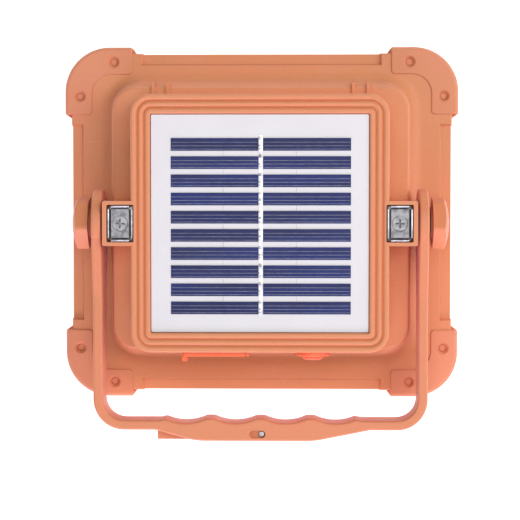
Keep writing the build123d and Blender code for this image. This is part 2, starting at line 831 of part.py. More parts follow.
def handle():
    front = extrude(Pos(0, 0, pivot_z - eye_radius - 1) * handle_front_outline(), 2 * eye_radius + 2)
    side_plane = Plane(origin=(0, 0, pivot_z), x_dir=(0, 1, 0), z_dir=(1, 0, 0))
    flank = extrude(side_plane * handle_side_outline(), handle_inner + arm_thick + 5, both=True)
    shape = front & flank
    rim = [e for e in shape.edges() if not is_upright(e) and not is_across_arm(e)]
    shape = fillet(rim, handle_fillet)
    for side in sides.values():
        x0, x1 = sorted((side * (handle_inner - 1), side * (handle_inner + arm_thick + 1)))
        shape -= along_x(x0, x1, 0, pivot_z, bolt_radius + bolt_fit)
    half = hook_thick / 2 + hook_gap
    slot_top = hook_pin_y + hook_boss + hook_gap
    slot_end = hook_pin_x + hook_boss + hook_gap
    slot_low = -belly_bottom - 1
    shape -= block(hook_tip - 0.4, slot_end, slot_low, slot_top, pivot_z - half, pivot_z + half)
    recess_x = hook_pin_x - (pin_slot_length - pin_slot_width) / 2
    recess = Pos(recess_x, hook_pin_y, pivot_z + strap_half - pin_slot_depth)
    shape -= extrude(recess * SlotOverall(pin_slot_length, pin_slot_width), pin_slot_depth + 1)
    foot = pivot_z - strap_half + hook_pin_foot
    shape -= post(hook_pin_x, hook_pin_y, hook_pin_radius, foot, pivot_z + strap_half)
    return shape


def hanging_hook():
    """A flat finger with an upturned lip, folded into the grip."""
    low = hook_pin_y - hook_boss
    high = hook_pin_y + hook_boss
    outline = make_face(
        Polyline(
            (hook_tip, low),
            (hook_tip, high - 0.6),
            (hook_tip + 0.6, high),
            (hook_tip + hook_lip - 0.4, high),
            (hook_tip + hook_lip, high - 0.4),
            (hook_tip + hook_lip, low + hook_shank),
            (hook_pin_x - 4.5, low + hook_shank),
            (hook_pin_x - 1.2, high - 0.3),
            (hook_pin_x, high - 0.3),
            (hook_pin_x, low),
            close=True,
        )
    )
    elbow = (hook_tip + hook_lip, low + hook_shank)
    inner = [v for v in outline.vertices() if abs(v.X - elbow[0]) + abs(v.Y - elbow[1]) < 0.02]
    outline = fillet(inner, 1.2)
    outline += Pos(hook_pin_x, hook_pin_y) * Circle(hook_boss)
    shape = extrude(Pos(0, 0, pivot_z - hook_thick / 2) * outline, hook_thick)
    return shape - post(hook_pin_x, hook_pin_y, hook_pin_radius + hook_pin_fit, pivot_z - 5, pivot_z + 5)


def hook_pin():
    low = pivot_z - strap_half + hook_pin_foot
    high = pivot_z + strap_half - pin_slot_depth
    shape = post(hook_pin_x, hook_pin_y, hook_pin_radius, low, high + 0.5)
    return fillet(at_height(shape, high + 0.5), 0.3)


# ---- knobs, pivots and magnets ----
def on_side(shape, side):
    """Turns a piece built along +Z from the ear face to stand on the left or right ear."""
    turned = Pos(0, 0, pivot_z) * Rot(0, 90, 0) * shape
    return turned if side > 0 else mirror(turned, Plane.YZ)


def knob(side):
    hexagon = Rot(0, 0, knob_turn) * RegularPolygon(knob_corner, 6)
    hexagon = fillet(hexagon.vertices(), 1.6)
    height = knob_rim + knob_dome
    shape = extrude(Pos(0, 0, knob_back_x) * hexagon, height)
    dome_radius = (knob_corner**2 + knob_dome**2) / (2 * knob_dome)
    shape &= Pos(0, 0, knob_back_x + height - dome_radius) * Sphere(dome_radius)
    shape = fillet([e for e in shape.edges() if (e @ 0.5).Z > knob_back_x + knob_rim - 0.5], 0.5)
    collar_low = handle_inner + arm_thick + 1.0
    shape += Pos(0, 0, (collar_low + knob_back_x) / 2) * Cylinder(knob_collar, knob_back_x - collar_low)
    shape -= bolt_solid()
    return on_side(shape, side)


def bolt_solid():
    """A hexagon-headed bolt moulded into the knob, along +Z from the ear."""
    low = ear_outer - insert_length
    head_low = knob_back_x + 0.4
    shank = Pos(0, 0, (low + head_low) / 2) * Cylinder(bolt_radius, head_low - low)
    head = extrude(Pos(0, 0, head_low) * RegularPolygon(knob_bolt_size, 6), knob_bolt_head)
    return shank + head


def ring(inner, outer, z0, z1):
    middle = Pos(0, 0, (z0 + z1) / 2)
    return middle * Cylinder(outer, z1 - z0) - middle * Cylinder(inner, z1 - z0)


def friction_washer():
    return ring(bolt_radius + 0.1, eye_radius - 4.5, ear_outer, ear_outer + pivot_washer)


def steel_washer():
    low = handle_inner + arm_thick + 0.1
    return ring(bolt_radius + 0.1, washer_radius, low, low + arm_washer)


def threaded_insert():
    body = ring(bolt_radius + bolt_fit, insert_radius, ear_outer - insert_length, ear_outer)
    waist = ring(insert_radius - 0.4, insert_radius, ear_outer - 4.4, ear_outer - 3.4)
    return body - waist


def magnet_cup(side):
    z0 = cup_back - cup_depth
    shape = slab(cup_width, cup_height, cup_radius, z0, cup_back, side * magnet_x)
    shape = fillet(at_height(shape, cup_back), 0.25)
    hollow_x, hollow_y = cup_width - 2 * cup_wall, cup_height - 2 * cup_wall
    shape -= slab(hollow_x, hollow_y, 0.4, z0 + cup_wall, cup_back + 1, side * magnet_x)
    return shape - post(side * magnet_x, 0, screw_radius + screw_fit, z0 - 1, cup_back)


def magnet(side):
    z0 = cup_back - cup_depth + cup_wall
    z1 = cup_back - magnet_sink
    trim = 2 * (cup_wall + magnet_gap)
    shape = slab(cup_width - trim, cup_height - trim, 0.3, z0, z1, side * magnet_x)
    shape = chamfer(at_height(shape, z1), 0.3)
    shape -= post(side * magnet_x, 0, screw_radius + screw_fit, z0 - 1, z1 + 1)
    seat = Cone(screw_radius + screw_fit, screw_head_radius + screw_fit, screw_head_depth)
    return shape - Pos(side * magnet_x, 0, z1 - screw_head_depth / 2) * seat


def magnet_screws():
    z1 = cup_back - magnet_sink - 0.15
    head = Cone(screw_radius, screw_head_radius, screw_head_depth)
    head = Pos(0, 0, z1 - screw_head_depth / 2) * head
    shank_low = cup_back - cup_depth - 4.2
    shank = post(0, 0, screw_radius, shank_low, z1 - screw_head_depth)
    screw = head + shank - Pos(0, 0, z1) * cross_recess(0.58 * screw_head_radius, 0.9)
    return Compound(children=[Pos(side * magnet_x, 0, 0) * screw for side in sides.values()])


# ---- button, port cover ----
def button_bezel():
    """The fixed rubber collar round the button, gripping the wall from both sides."""
    low = turret_low
    shape = along_y(low - bezel_proud, low, button_x, control_z, bezel_radius)
    shape = fillet([e for e in shape.edges() if (e @ 0.5).Y < low - bezel_proud + 0.1], 0.7)
    shape += along_y(low, low + wall, button_x, control_z, bezel_neck)
    lip = along_y(low + wall, low + wall + 1.0, button_x, control_z, bezel_neck + 1.0)
    shape += split(lip, Plane.XY.offset(ceiling - 0.1), keep=Keep.BOTTOM)
    return shape - along_y(low - 5, low + 5, button_x, control_z, button_radius + button_fit)




def power_button():
    low = turret_low
    outer = low - bezel_proud - button_proud
    inner = low + button_inset
    shape = along_y(outer, inner, button_x, control_z, button_radius)
    shape = fillet([e for e in shape.edges() if (e @ 0.5).Y < outer + 0.1], 1.3)
    return shape + along_y(inner, switch_face - plunger_reach, button_x, control_z, 1.5)


def switch_plunger():
    start, end = switch_face - plunger_reach, switch_face + plunger_depth
    return along_y(start, end, button_x, control_z, plunger_radius)


def power_switch():
    shape = block(button_x - 3.7, button_x + 3.7, switch_face, switch_face + 5.6, main_back, ceiling - 0.2)
    well = switch_face + plunger_depth + button_travel + 0.3
    return shape - along_y(switch_face - 1, well, button_x, control_z, plunger_radius + 0.15)


def outer_edges(edges, wanted):
    """The edges away from the wall whose X passes a test."""
    return [e for e in edges if wanted((e @ 0.5).X) and (e @ 0.5).Y < turret_low - 0.5]


def port_cover():
    """A rubber strip with a pull tab, and a plug that fills the port opening."""
    low = turret_low
    z0, z1 = cover_z - cover_height / 2, cover_z + cover_height / 2
    shape = block(cover_left, hinge_x, low - cover_proud, low - cover_gap, z0, z1)
    shape = fillet(outer_edges(shape.edges(), lambda x: x < cover_left + 0.1), 0.5)
    shape += Pos(hinge_x, hinge_y, cover_z) * Cylinder(hinge_radius, cover_height)
    tab_left = cover_left - 0.6
    tab_front = low - cover_proud - tab_reach
    tab = block(tab_left, tab_left + tab_width, tab_front, low - 0.3, z0 + 2, z1 - 2)
    shape += fillet(tab.edges().filter_by(Axis.Z), 0.6)
    plug_middle = (port_left + port_right) / 2
    plug = RectangleRounded(port_right - port_left - 0.4, port_height - 0.4, 1.0)
    plug = extrude(Pos(plug_middle, low - cover_gap, cover_z) * Rot(90, 0, 0) * plug, -plug_depth)
    hollow = RectangleRounded(port_right - port_left - 3.0, port_height - 3.0, 0.6)
    hollow = extrude(Pos(plug_middle, low - cover_gap, cover_z) * Rot(90, 0, 0) * hollow, -plug_depth)
    return shape + (plug - hollow)


def cover_anchor():
    """The fixed end of the cover, with a peg through the wall."""
    low = turret_low
    z0, z1 = cover_z - cover_height / 2, cover_z + cover_height / 2
    start = hinge_x + hinge_radius + 0.1
    shape = block(start, cover_right, low - cover_proud, low, z0, z1)
    near_end = outer_edges(shape.edges().filter_by(Axis.Z), lambda x: x < start + 0.1)
    shape = chamfer(near_end, 0.7)
    far_end = outer_edges(shape.edges().filter_by(Axis.Z), lambda x: x > cover_right - 0.1)
    shape = fillet(far_end, 0.4)
    shape += along_y(low - 0.3, low + wall, peg_x, cover_z, peg_radius)
    return shape + along_y(low + wall, low + wall + 0.8, peg_x, cover_z, peg_head_radius)


# ---- main board and what is soldered to it ----
def main_board():
    shape = block(-main_half, main_half, main_low, main_high, main_front, main_back)
    for x, y in main_post_places:
        shape -= post(x, y, small_screw_radius + screw_fit, main_front, main_back)
    return shape


def main_board_screws():
    length = main_screw_grip + main_thick
    screw = Rot(180, 0, 0) * pan_screw(small_screw_radius, length, small_head_radius, small_head_depth)
    return Compound(children=[Pos(x, y, main_front) * screw for x, y in main_post_places])


def usb_a_socket():
    left, right = usb_a_x - usb_a_half, usb_a_x + usb_a_half
    end = socket_face + usb_a_depth
    floor = end - 2
    shape = block(left, right, socket_face, end, main_back, main_back + usb_a_height)
    shape -= block(left + 0.5, right - 0.5, socket_face, floor, main_back + 0.9, main_back + 6.1)
    tongue = block(left + 1.1, right - 1.1, socket_face + 1, floor, main_back + 3.6, main_back + 5.4)
    return shape + tongue


def usb_c_socket():
    def stadium(length, height, z, y0, depth):
        face = Pos(usb_c_x, y0, z) * Rot(90, 0, 0) * SlotOverall(length, height)
        return extrude(face, -depth)

    z = main_back + usb_c_height / 2
    inner_depth = usb_c_depth - 4 * usb_c_wall
    shape = stadium(usb_c_width, usb_c_height, z, socket_face, usb_c_depth)
    shape -= stadium(
        usb_c_width - 2 * usb_c_wall, usb_c_height - 2 * usb_c_wall, z, socket_face, inner_depth
    )
    left, right, end = usb_c_x - 3.3, usb_c_x + 3.3, socket_face + inner_depth
    return shape + block(left, right, socket_face + 0.8, end, z - 0.35, z + 0.35)


def board_parts():
    """The driver's coil, capacitors and chips, each its own solid."""
    parts = []
    middle = main_high - 6.5
    coil = block(-6.5, 0.5, middle - 3.5, middle + 3.5, main_back, main_back + 4.0)
    parts.append(chamfer(coil.edges().filter_by(Axis.Z), 1.2))
    for x in (8.5, 15.5):
        parts.append(post(x, middle, 2.5, main_back, main_back + 5.4))
    for x in (-30.2, -20.5, 28.0):
        parts.append(block(x - 2.5, x + 2.5, middle - 3, middle + 1, main_back, main_back + 1.5))
    return Compound(children=parts)


# ---- battery ----
def battery_row(index):
    return battery_mid + (index - 1) * battery_pitch


def battery_cell(index):
    half = battery_length / 2
    shape = along_x(-half, half - 1.2, battery_row(index), battery_z, cell_radius)
    shape = fillet(shape.edges().filter_by(GeomType.CIRCLE), 0.6)
    return shape + along_x(half - 1.4, half, battery_row(index), battery_z, 2.8)


def battery_holder():
    high = ceiling - battery_tape_thick
    low_y, high_y = battery_mid - holder_half_y, battery_mid + holder_half_y
    shape = block(-holder_half_x, holder_half_x, low_y, high_y, battery_z + 1.0, high)
    room = battery_length / 2 + 0.45
    for index in range(3):
        shape -= along_x(-room, room, battery_row(index), battery_z, cell_radius + cell_fit)
    for sign in (-1, 1):
        x0, x1 = sorted((sign * battery_length / 2, sign * (battery_length / 2 + spring_gap)))
        reach = battery_pitch + 4.2
        shape -= block(x0, x1, battery_mid - reach, battery_mid + reach, battery_z, battery_z + 4.2)
    return shape


def battery_tape():
    return block(-30, 30, battery_mid - 25, battery_mid + 25, ceiling - battery_tape_thick, ceiling)


def battery_pad():
    low = board_front + board_thick
    return slab(50.0, 52.0, 3.0, low + 0.1, battery_z - cell_radius - 0.1, 0, battery_mid)


def battery_tabs():
    tabs = []
    half = battery_length / 2
    reach = battery_pitch + 4
    for side in (-1, 1):
        x0, x1 = sorted((side * half, side * (half + tab_thick)))
        tabs.append(block(x0, x1, battery_mid - reach, battery_mid + reach, battery_z - 4, battery_z + 4))
    return Compound(children=tabs)


def battery_lead(side):
    start = battery_length / 2 + tab_thick
    out = start + 5.2
    return wire(
        [
            (side * start, battery_row(0), battery_z - 2),
            (side * out, battery_row(0), battery_z - 2),
            (side * out, -33.0, battery_z - 4),
            (side * out, -33.0, main_front),
        ],
        wire_radius,
    )


def pair(lead):
    return Compound(children=[lead(side) for side in sides.values()])


def solar_lead(side):
    x = side * 2.6
    points = [(x, -36, backing_low), (x, -36, ceiling - 2.5), (x, -40, main_back + 3.5), (x, -40, main_back)]
    return wire(points, wire_radius * 0.8)


def lamp_lead(side):
    x = side * 24.0
    return wire(
        [(x, -38, main_front), (x, -38, 19.6), (x, -44, 14.6), (x, -44, board_front + board_thick)],
        wire_radius,
    )


# ---- write every piece ----
pieces = {
    "front_bezel": front_bezel(),
    "rear_housing": rear_housing(),
    "body_seal": seal_ring(0.05),
    "lens": lens(),
    "lens_gasket": lens_gasket(),
    "reflector_tray": reflector_tray(),
    "lamp_board": lamp_board(),
    "flood_leds": flood_leds(),
    "lamp_board_screws": lamp_board_screws(),
    "case_screws": case_screws(),
    "guard_rivets": guard_rivets(),
    "solar_tape": solar_tape(),
    "solar_backing": slab(panel_size, panel_size, 0.5, backing_low, backing_high),
    "solar_cells": solar_cells(),
    "solar_ribbon": solar_ribbons(),
    "solar_cover": solar_cover(),
    "handle": handle(),
    "hanging_hook": hanging_hook(),
    "hook_pin": hook_pin(),
    "magnet_screws": magnet_screws(),
    "button_collar": button_bezel(),
    "power_button": power_button(),
    "switch_plunger": switch_plunger(),
    "power_switch": power_switch(),
    "port_cover": port_cover(),
    "port_cover_anchor": cover_anchor(),
    "main_board": main_board(),
    "main_board_screws": main_board_screws(),
    "usb_a_socket": usb_a_socket(),
    "usb_c_socket": usb_c_socket(),
    "board_parts": board_parts(),
    "battery_holder": battery_holder(),
    "battery_tape": battery_tape(),
    "battery_pad": battery_pad(),
    "battery_tabs": battery_tabs(),
    "battery_leads": pair(battery_lead),
    "solar_leads": pair(solar_lead),
    "lamp_leads": pair(lamp_lead),
}
for name, (sx, sy) in {
    "corner_guard_top_left": (-1, 1),
    "corner_guard_top_right": (1, 1),
    "corner_guard_low_left": (-1, -1),
    "corner_guard_low_right": (1, -1),
}.items():
    pieces[name] = corner_guard(sx, sy)
for name, side in sides.items():
    pieces[f"knob_{name}"] = knob(side)
    pieces[f"pivot_bolt_{name}"] = on_side(bolt_solid(), side)
    pieces[f"friction_washer_{name}"] = on_side(friction_washer(), side)
    pieces[f"steel_washer_{name}"] = on_side(steel_washer(), side)
    pieces[f"threaded_insert_{name}"] = on_side(threaded_insert(), side)
    pieces[f"magnet_cup_{name}"] = magnet_cup(side)
    pieces[f"magnet_{name}"] = magnet(side)
for index in range(3):
    pieces[f"battery_cell_{index + 1}"] = battery_cell(index)

os.makedirs("parts", exist_ok=True)
for name, shape in pieces.items():
    export_step(shape, f"parts/{name}.step")
print(len(pieces), "pieces")
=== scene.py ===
# %% [markdown]
# # A solar work light, seen from the back
# A portable flood lamp: an orange moulded housing with a solar panel on its back, two magnets in
# ears beside it, soft guards on its corners and a bail handle. The solid model already fixes every
# size, place and joint, so this script only gives the pieces their surfaces, rebuilds the small
# ones that are seen close up, and sets a plain studio around them.

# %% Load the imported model
import json
import math
import bmesh
import bpy
from mathutils import Matrix, Vector


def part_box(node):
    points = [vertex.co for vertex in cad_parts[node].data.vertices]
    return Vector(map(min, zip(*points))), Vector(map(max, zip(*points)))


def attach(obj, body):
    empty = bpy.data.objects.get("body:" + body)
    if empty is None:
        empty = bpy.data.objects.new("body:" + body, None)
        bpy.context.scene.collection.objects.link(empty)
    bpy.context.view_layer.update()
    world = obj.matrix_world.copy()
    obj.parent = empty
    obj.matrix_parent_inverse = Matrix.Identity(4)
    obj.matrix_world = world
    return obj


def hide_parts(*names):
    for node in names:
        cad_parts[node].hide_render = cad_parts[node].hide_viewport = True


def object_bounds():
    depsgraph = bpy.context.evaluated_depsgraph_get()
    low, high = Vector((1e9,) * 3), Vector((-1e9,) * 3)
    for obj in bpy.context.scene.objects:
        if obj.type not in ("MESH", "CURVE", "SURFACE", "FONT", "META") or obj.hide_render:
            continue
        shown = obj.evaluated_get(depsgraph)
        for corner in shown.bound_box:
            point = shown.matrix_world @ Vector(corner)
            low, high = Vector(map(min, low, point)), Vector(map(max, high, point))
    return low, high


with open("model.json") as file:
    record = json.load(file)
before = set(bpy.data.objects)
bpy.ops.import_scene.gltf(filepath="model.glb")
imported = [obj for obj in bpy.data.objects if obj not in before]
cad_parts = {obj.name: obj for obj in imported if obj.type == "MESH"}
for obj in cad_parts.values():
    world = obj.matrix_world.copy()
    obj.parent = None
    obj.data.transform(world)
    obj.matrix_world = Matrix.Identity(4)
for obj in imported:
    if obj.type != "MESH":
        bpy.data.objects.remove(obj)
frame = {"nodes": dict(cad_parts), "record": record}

nodes = frame["nodes"]
cad_low, cad_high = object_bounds()
millimetre = 0.001
print("size in mm:", [round(v / millimetre, 1) for v in cad_high - cad_low])

# %% [markdown]
# ## The studio
# The lamp lies on its face and is looked at from almost straight above. The view is aimed a
# thumb's width below the middle of its body, so that the handle is in the picture too. A long lens
# from most of a metre away keeps the body square. The floor is a big pale sheet that glows a
# little, as paper on a light table does, so the lamp's own shadow stays faint.

# %% Camera
camera_rise = 0.707          # above the floor
camera_side, camera_up = 0.016, 0.012
focal_length = 114.7         # mm, on a 36 mm sensor
aim = Vector((-0.00057, -0.01573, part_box("rear_housing")[0].z + 0.0085))

camera_data = bpy.data.cameras.new("camera")
camera_data.lens = focal_length
camera_data.sensor_width = 36.0
camera_data.clip_start = 0.01
camera_data.clip_end = 20.0
camera = bpy.data.objects.new("camera", camera_data)
camera.location = (camera_side, camera_up, cad_low.z + camera_rise)
sight = aim - camera.location
camera.rotation_euler = (math.atan2(sight.y, -sight.z), -math.atan2(sight.x, -sight.z), 0.0)
bpy.context.scene.collection.objects.link(camera)
bpy.context.scene.camera = camera
bpy.context.scene.view_settings.view_transform = "Standard"
print("camera", [round(v, 3) for v in camera.location])

# %% [markdown]
# ## Node helpers
# A material is a small machine of nodes joined by links. Three helpers keep the machines short:
# one makes a node and fills in its sockets, one does sums, and one opens a named group. A value
# that is itself another node's socket is linked, and a plain number or colour is typed in.

# %% Helpers for node trees
def feed(tree, socket, value):
    """Links a socket, or types in a plain value."""
    if isinstance(value, bpy.types.NodeSocket):
        tree.links.new(value, socket)
    else:
        socket.default_value = value


def add(tree, kind, settings=None, **inputs):
    """A node with its settings, and its inputs named with _ for a space."""
    node = tree.nodes.new(kind)
    for name, value in (settings or {}).items():
        setattr(node, name, value)
    for name, value in inputs.items():
        feed(tree, node.inputs[name.replace("_", " ")], value)
    return node


def sums(tree, operation, first, second=0.0, third=0.0, clamp=False):
    """One step of arithmetic, and the socket that holds its answer."""
    node = add(tree, "ShaderNodeMath", {"operation": operation, "use_clamp": clamp})
    for socket, value in zip(node.inputs, (first, second, third)):
        feed(tree, socket, value)
    return node.outputs[0]


def blend_colours(tree, share, first, second):
    """A share of the second colour over the first."""
    node = add(tree, "ShaderNodeMix", {"data_type": "RGBA"})
    feed(tree, node.inputs[0], share)
    feed(tree, node.inputs[6], first)
    feed(tree, node.inputs[7], second)
    return node.outputs[2]


def ramp(tree, value, low, high):
    """A smooth step from 0 at low to 1 at high."""
    settings = {"interpolation_type": "SMOOTHSTEP"}
    node = add(tree, "ShaderNodeMapRange", settings, Value=value, From_Min=low, From_Max=high)
    return node.outputs[0]


def open_group(name, inputs, outputs):
    """A shader node group with named sockets, its input node and its output node."""
    tree = bpy.data.node_groups.new(name, "ShaderNodeTree")
    for label, kind, value in inputs:
        socket = tree.interface.new_socket(label, in_out="INPUT", socket_type=kind)
        if value is not None:
            socket.default_value = value
    for label, kind in outputs:
        tree.interface.new_socket(label, in_out="OUTPUT", socket_type=kind)
    return tree, tree.nodes.new("NodeGroupInput"), tree.nodes.new("NodeGroupOutput")


FLOAT, COLOUR, VECTOR = "NodeSocketFloat", "NodeSocketColor", "NodeSocketVector"

# %% [markdown]
# ## Moulded grain
# The housing, handle and guards come out of spark-eroded steel moulds, so they carry a fine matt
# grain, about a fifth of a millimetre across. It could be a displaced mesh, but that needs
# millions of faces. As a bump made of noise over a cell pattern it costs nothing and fits every
# curved face, because it reads the place in space and needs no unwrapping.

# %% Group: moulded grain
grain, source, sink = open_group(
    "moulded_grain",
    [("Position", VECTOR, None), ("Grains per Metre", FLOAT, 4200.0), ("Pits", FLOAT, 0.35)],
    [("Height", FLOAT)],
)
position, density = source.outputs["Position"], source.outputs["Grains per Metre"]
noise = add(grain, "ShaderNodeTexNoise", Vector=position, Scale=density, Detail=2.0)
pit_density = sums(grain, "MULTIPLY", density, 0.7)
pits = add(grain, "ShaderNodeTexVoronoi", Vector=position, Scale=pit_density)
pit_depth = sums(grain, "MULTIPLY", pits.outputs["Distance"], source.outputs["Pits"])
feed(grain, sink.inputs["Height"], sums(grain, "ADD", noise.outputs[0], pit_depth))
print("group", grain.name, "with", len(grain.nodes), "nodes")

# %% [markdown]
# ## Colour drift
# No moulding is one flat colour. Pigment flows with the melt, so the tone wanders over a few
# centimetres, and tiny specks of darker pigment show close up. One group shifts any colour that
# way, a wide soft noise for the flow and a fine sharp one for the specks.

# %% Group: colour drift
drift, source, sink = open_group(
    "colour_drift",
    [
        ("Position", VECTOR, None),
        ("Colour", COLOUR, (0.8, 0.8, 0.8, 1.0)),
        ("Warm Colour", COLOUR, (0.8, 0.8, 0.8, 1.0)),
        ("Flow", FLOAT, 0.5),
        ("Specks", FLOAT, 0.1),
    ],
    [("Colour", COLOUR)],
)
position = source.outputs["Position"]
flow = add(drift, "ShaderNodeTexNoise", Vector=position, Scale=22.0, Detail=3.0, Distortion=0.6)
share = sums(drift, "MULTIPLY", ramp(drift, flow.outputs[0], 0.38, 0.66), source.outputs["Flow"])
toned = blend_colours(drift, share, source.outputs["Colour"], source.outputs["Warm Colour"])
speck = add(drift, "ShaderNodeTexNoise", Vector=position, Scale=1900.0, Detail=1.0)
where = ramp(drift, speck.outputs[0], 0.56, 0.72)
speck_share = sums(drift, "MULTIPLY", where, source.outputs["Specks"])
specked = blend_colours(drift, speck_share, toned, (0.10, 0.03, 0.01, 1.0))
feed(drift, sink.inputs["Colour"], specked)
print("group", drift.name, "with", len(drift.nodes), "nodes")

# %% [markdown]
# ## Handling marks
# A tool that is carried about gets short fine scuffs, and its matt grain is polished where
# fingers rub it. The scuffs are noise stretched thin along two directions and cut off sharply, so
# only their crests are left. The same mask lightens the colour a little and roughens the gloss.

# %% Group: handling marks
marks, source, sink = open_group(
    "handling_marks",
    [("Position", VECTOR, None), ("Amount", FLOAT, 0.5)],
    [("Scuffs", FLOAT), ("Polish", FLOAT)],
)
position = source.outputs["Position"]
scuffs = None
for angle, stretch in ((0.5, (60.0, 1400.0, 900.0)), (-0.9, (1300.0, 80.0, 900.0))):
    turned = add(marks, "ShaderNodeMapping", Vector=position, Scale=stretch,
                 Rotation=(0.0, 0.0, angle))
    streaks = add(marks, "ShaderNodeTexNoise", Vector=turned.outputs[0], Scale=1.0, Detail=1.0)
    crest = ramp(marks, streaks.outputs[0], 0.70, 0.76)
    scuffs = crest if scuffs is None else sums(marks, "MAXIMUM", scuffs, crest)
patches = add(marks, "ShaderNodeTexNoise", Vector=position, Scale=55.0, Detail=2.0)
where = ramp(marks, patches.outputs[0], 0.48, 0.70)
visible = sums(marks, "MULTIPLY", sums(marks, "MULTIPLY", scuffs, where), source.outputs["Amount"])
feed(marks, sink.inputs["Scuffs"], visible)
feed(marks, sink.inputs["Polish"], sums(marks, "MULTIPLY", where, source.outputs["Amount"]))
print("group", marks.name, "with", len(marks.nodes), "nodes")

# %% [markdown]
# ## Painted crease shade
# Light that falls into a narrow gap between orange walls bounces from one to the other, and each
# bounce takes more blue and green out of it. That shade is painted into the colour here. Ambient
# occlusion measures how closed in a point is, and steers the colour towards a deep red-orange.

# %% Group: painted crease shade
painted_crease_shade, source, sink = open_group(
    "painted_crease_shade", [("Reach", FLOAT, 0.002), ("Strength", FLOAT, 1.0)], [("Mask", FLOAT)]
)
reach = source.outputs["Reach"]
shelter = add(painted_crease_shade, "ShaderNodeAmbientOcclusion", {"samples": 4}, Distance=reach)
closed_in = ramp(painted_crease_shade, sums(painted_crease_shade, "SUBTRACT", 1.0, shelter.outputs["AO"]), 0.15, 0.8)
# The mask is painted shade, strongest where a point is most closed in.
mask = sums(painted_crease_shade, "MULTIPLY", closed_in, source.outputs["Strength"])
feed(painted_crease_shade, sink.inputs["Mask"], mask)
print("group", painted_crease_shade.name)

# %% [markdown]
# ## One recipe for the moulded pieces
# Housing, guards, handle, knobs and rubber all come from moulds, and differ in colour, gloss and
# grain. One function wires the four groups into a Principled shader, and each finish is one call
# with its own values. The sheen is the pale violet bloom that matt plastic has at a grazing angle.

# %% Moulded finishes
violet = (0.80, 0.62, 1.0, 1.0)


def use(tree, group, **inputs):
    """Places a group in a material."""
    node = tree.nodes.new("ShaderNodeGroup")
    node.node_tree = group
    for name, value in inputs.items():
        feed(tree, node.inputs[name.replace("_", " ")], value)
    return node


def start_material(name):
    """An empty node material, its tree, its Principled shader and the place on the piece."""
    material = bpy.data.materials.new(name)
    material.use_nodes = True
    tree = material.node_tree
    tree.nodes.clear()
    shader = tree.nodes.new("ShaderNodeBsdfPrincipled")
    output = tree.nodes.new("ShaderNodeOutputMaterial")
    tree.links.new(shader.outputs[0], output.inputs["Surface"])
    place = tree.nodes.new("ShaderNodeTexCoord").outputs["Object"]
    return material, tree, shader, place


def raise_bump(tree, shader, height, depth, strength=1.0):
    """Turns a height into a bump that many metres deep."""
    bump = add(tree, "ShaderNodeBump", Height=height, Distance=depth, Strength=strength)
    feed(tree, shader.inputs["Normal"], bump.outputs[0])


def moulded(name, colour, warm, crease_shade_colour, gloss=(0.36, 0.56), grains=4200.0, depth=0.03,
            scuffing=0.5, sheen=0.12, flow=0.5):
    """A moulded plastic or rubber finish, with painted shade in its creases. Depth is in
    millimetres.
    """
    material, tree, shader, place = start_material(name)
    tone = use(tree, drift, Position=place, Colour=(*colour, 1.0), Warm_Colour=(*warm, 1.0),
               Flow=flow, Specks=0.10)
    wear = use(tree, marks, Position=place, Amount=scuffing)
    # Painted shade: the colour is darkened in creases, where ambient occlusion finds them closed
    # in.
    painted_shade_node = use(tree, painted_crease_shade, Reach=0.0022, Strength=0.8)
    pale = blend_colours(tree, sums(tree, "MULTIPLY", wear.outputs["Scuffs"], 0.35),
                         tone.outputs["Colour"], (0.95, 0.62, 0.42, 1.0))
    final = blend_colours(tree, painted_shade_node.outputs["Mask"], pale, (*crease_shade_colour, 1.0))
    feed(tree, shader.inputs["Base Color"], final)
    smooth, matt = gloss
    rough = sums(tree, "MULTIPLY_ADD", wear.outputs["Polish"], smooth - matt, matt)
    rough = sums(tree, "ADD", rough, sums(tree, "MULTIPLY", wear.outputs["Scuffs"], 0.2))
    feed(tree, shader.inputs["Roughness"], rough)
    surface = use(tree, grain, Position=place, Grains_per_Metre=grains, Pits=0.35)
    height = sums(tree, "SUBTRACT", surface.outputs["Height"], wear.outputs["Scuffs"])
    raise_bump(tree, shader, height, depth * millimetre)
    shader.inputs["Sheen Weight"].default_value = sheen
    shader.inputs["Sheen Tint"].default_value = violet
    shader.inputs["Sheen Roughness"].default_value = 0.35
    return material


